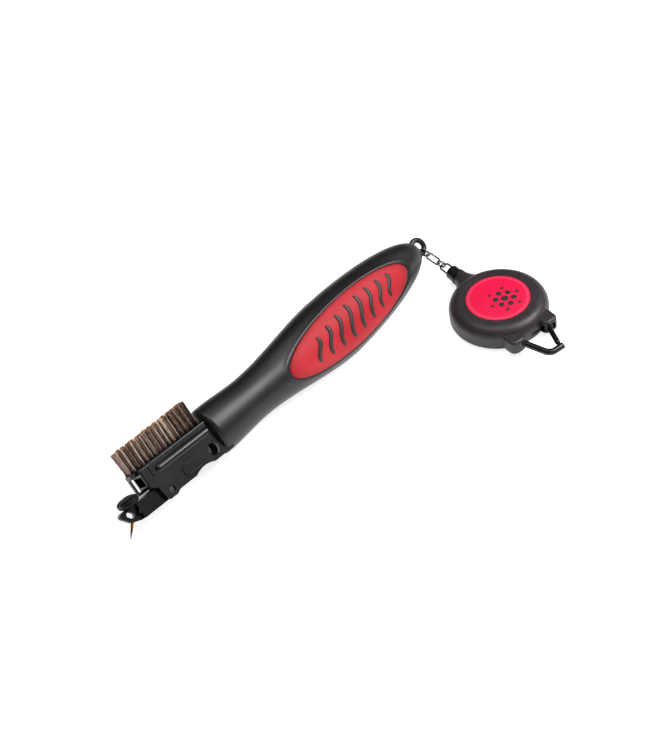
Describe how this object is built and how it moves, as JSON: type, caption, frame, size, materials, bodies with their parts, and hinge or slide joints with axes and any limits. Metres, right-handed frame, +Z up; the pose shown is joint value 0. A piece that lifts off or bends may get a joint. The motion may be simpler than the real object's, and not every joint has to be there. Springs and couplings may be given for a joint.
{
  "type": "club groove brush",
  "caption": "Hand brush for golf clubs: bronze bristles, fold-out groove spike and oval-inlay grip, tethered by a short chain to a retracting reel with a clip loop.",
  "frame": {"origin": "centre of the reel's flat back face, on the surface that the object lies on", "axes": "+Z up; +X along the brush from its nose to its tail eye; the brush lies behind the reel (+Y), rolled so that its bristles point up and back"},
  "size_m": [0.1818, 0.0896, 0.0286],
  "materials": {
    "grip_rubber": "satin soft-touch black",
    "inlay_red": "soft satin red, fine moulded texture",
    "head_plastic": "matte moulded black",
    "pad_rubber": "dimpled matte black",
    "core_plastic": "moulded black",
    "bronze_wire": "drawn phosphor-bronze wire",
    "spike_brass": "polished, darkened at the root",
    "chain_metal": "dark nickel",
    "steel": "plain",
    "case_plastic": "fine-textured dark grey",
    "disc_red": "semi-gloss crimson",
    "loop_metal": "satin black",
    "spool_plastic": "natural acetal",
    "cord_fabric": "braided black cord"
  },
  "bodies": {
    "brush": {"handle_core": "core_plastic", "grip_sleeve": "grip_rubber", "oval_inlay_near": "inlay_red", "oval_inlay_far": "inlay_red", "head_body": "head_plastic", "tenon_screws": "steel", "bristle_carrier": "core_plastic", "bristle_tufts": "bronze_wire", "hinge_pin": "steel", "friction_washers": "steel"},
    "spike_arm": {"spike_arm": "head_plastic", "thumb_pad": "pad_rubber", "groove_spike": "spike_brass"},
    "tail_ring": {"tail_ring": "chain_metal"},
    "long_link": {"long_link": "chain_metal"},
    "swivel_ring": {"swivel_ring": "chain_metal"},
    "cord_end": {"wire_bail": "chain_metal", "cord_barrel": "head_plastic", "crimp_bead": "steel", "pull_cord": "cord_fabric"},
    "reel": {"back_cover": "case_plastic", "front_cover": "case_plastic", "domed_disc": "disc_red", "case_screws": "steel", "mouth_bush": "core_plastic", "arbor": "steel", "mainspring": "steel", "clip_hook": "loop_metal", "gate_pin": "steel", "gate_spring": "steel"},
    "spool": {"spool": "spool_plastic", "wound_cord": "cord_fabric"},
    "gate": {"clip_gate": "loop_metal"}
  },
  "joints": [
    {"name": "spike_fold", "type": "hinge", "parent": "brush", "child": "spike_arm", "pos_m": [-0.14072, 0.03979, 0.01043], "axis": [0, -0.7431, 0.6691], "range_deg": [0, 170]},
    {"name": "ring_swing", "type": "hinge", "parent": "brush", "child": "tail_ring", "pos_m": [0.00512, 0.0397, 0.01033], "axis": [0.9548, 0.199, 0.221], "range_deg": [-30, 30]},
    {"name": "link_swing", "type": "hinge", "parent": "tail_ring", "child": "long_link", "pos_m": [0.00589, 0.03782, 0.00867], "axis": [0.0328, 0.6681, -0.7433], "range_deg": [-30, 30]},
    {"name": "swivel_swing", "type": "hinge", "parent": "long_link", "child": "swivel_ring", "pos_m": [0.00743, 0.03409, 0.00538], "axis": [0.9548, 0.199, 0.221], "range_deg": [-25, 25]},
    {"name": "cord_end_swing", "type": "hinge", "parent": "swivel_ring", "child": "cord_end", "pos_m": [0.0082, 0.03222, 0.00374], "axis": [0.0328, 0.6681, -0.7433], "range_deg": [-18, 18]},
    {"name": "cord_pull", "type": "slide", "parent": "cord_end", "child": "reel", "axis": [-0.2307, -0.973, 0], "range_m": [0, 0.6]},
    {"name": "spool_spin", "type": "hinge", "parent": "reel", "child": "spool", "pos_m": [0, 0, 0], "axis": [0, 0, 1], "range_deg": [0, 2610]},
    {"name": "gate_swing", "type": "hinge", "parent": "reel", "child": "gate", "pos_m": [0.00184, -0.0213, 0.0042], "axis": [0, 0, -1], "range_deg": [0, 35], "stiffness_Nm_per_rad": 0.002}
  ],
  "couplings": [
    {"joint": "spool_spin", "follows": "cord_pull", "rad_per_m": 75.758}
  ]
}
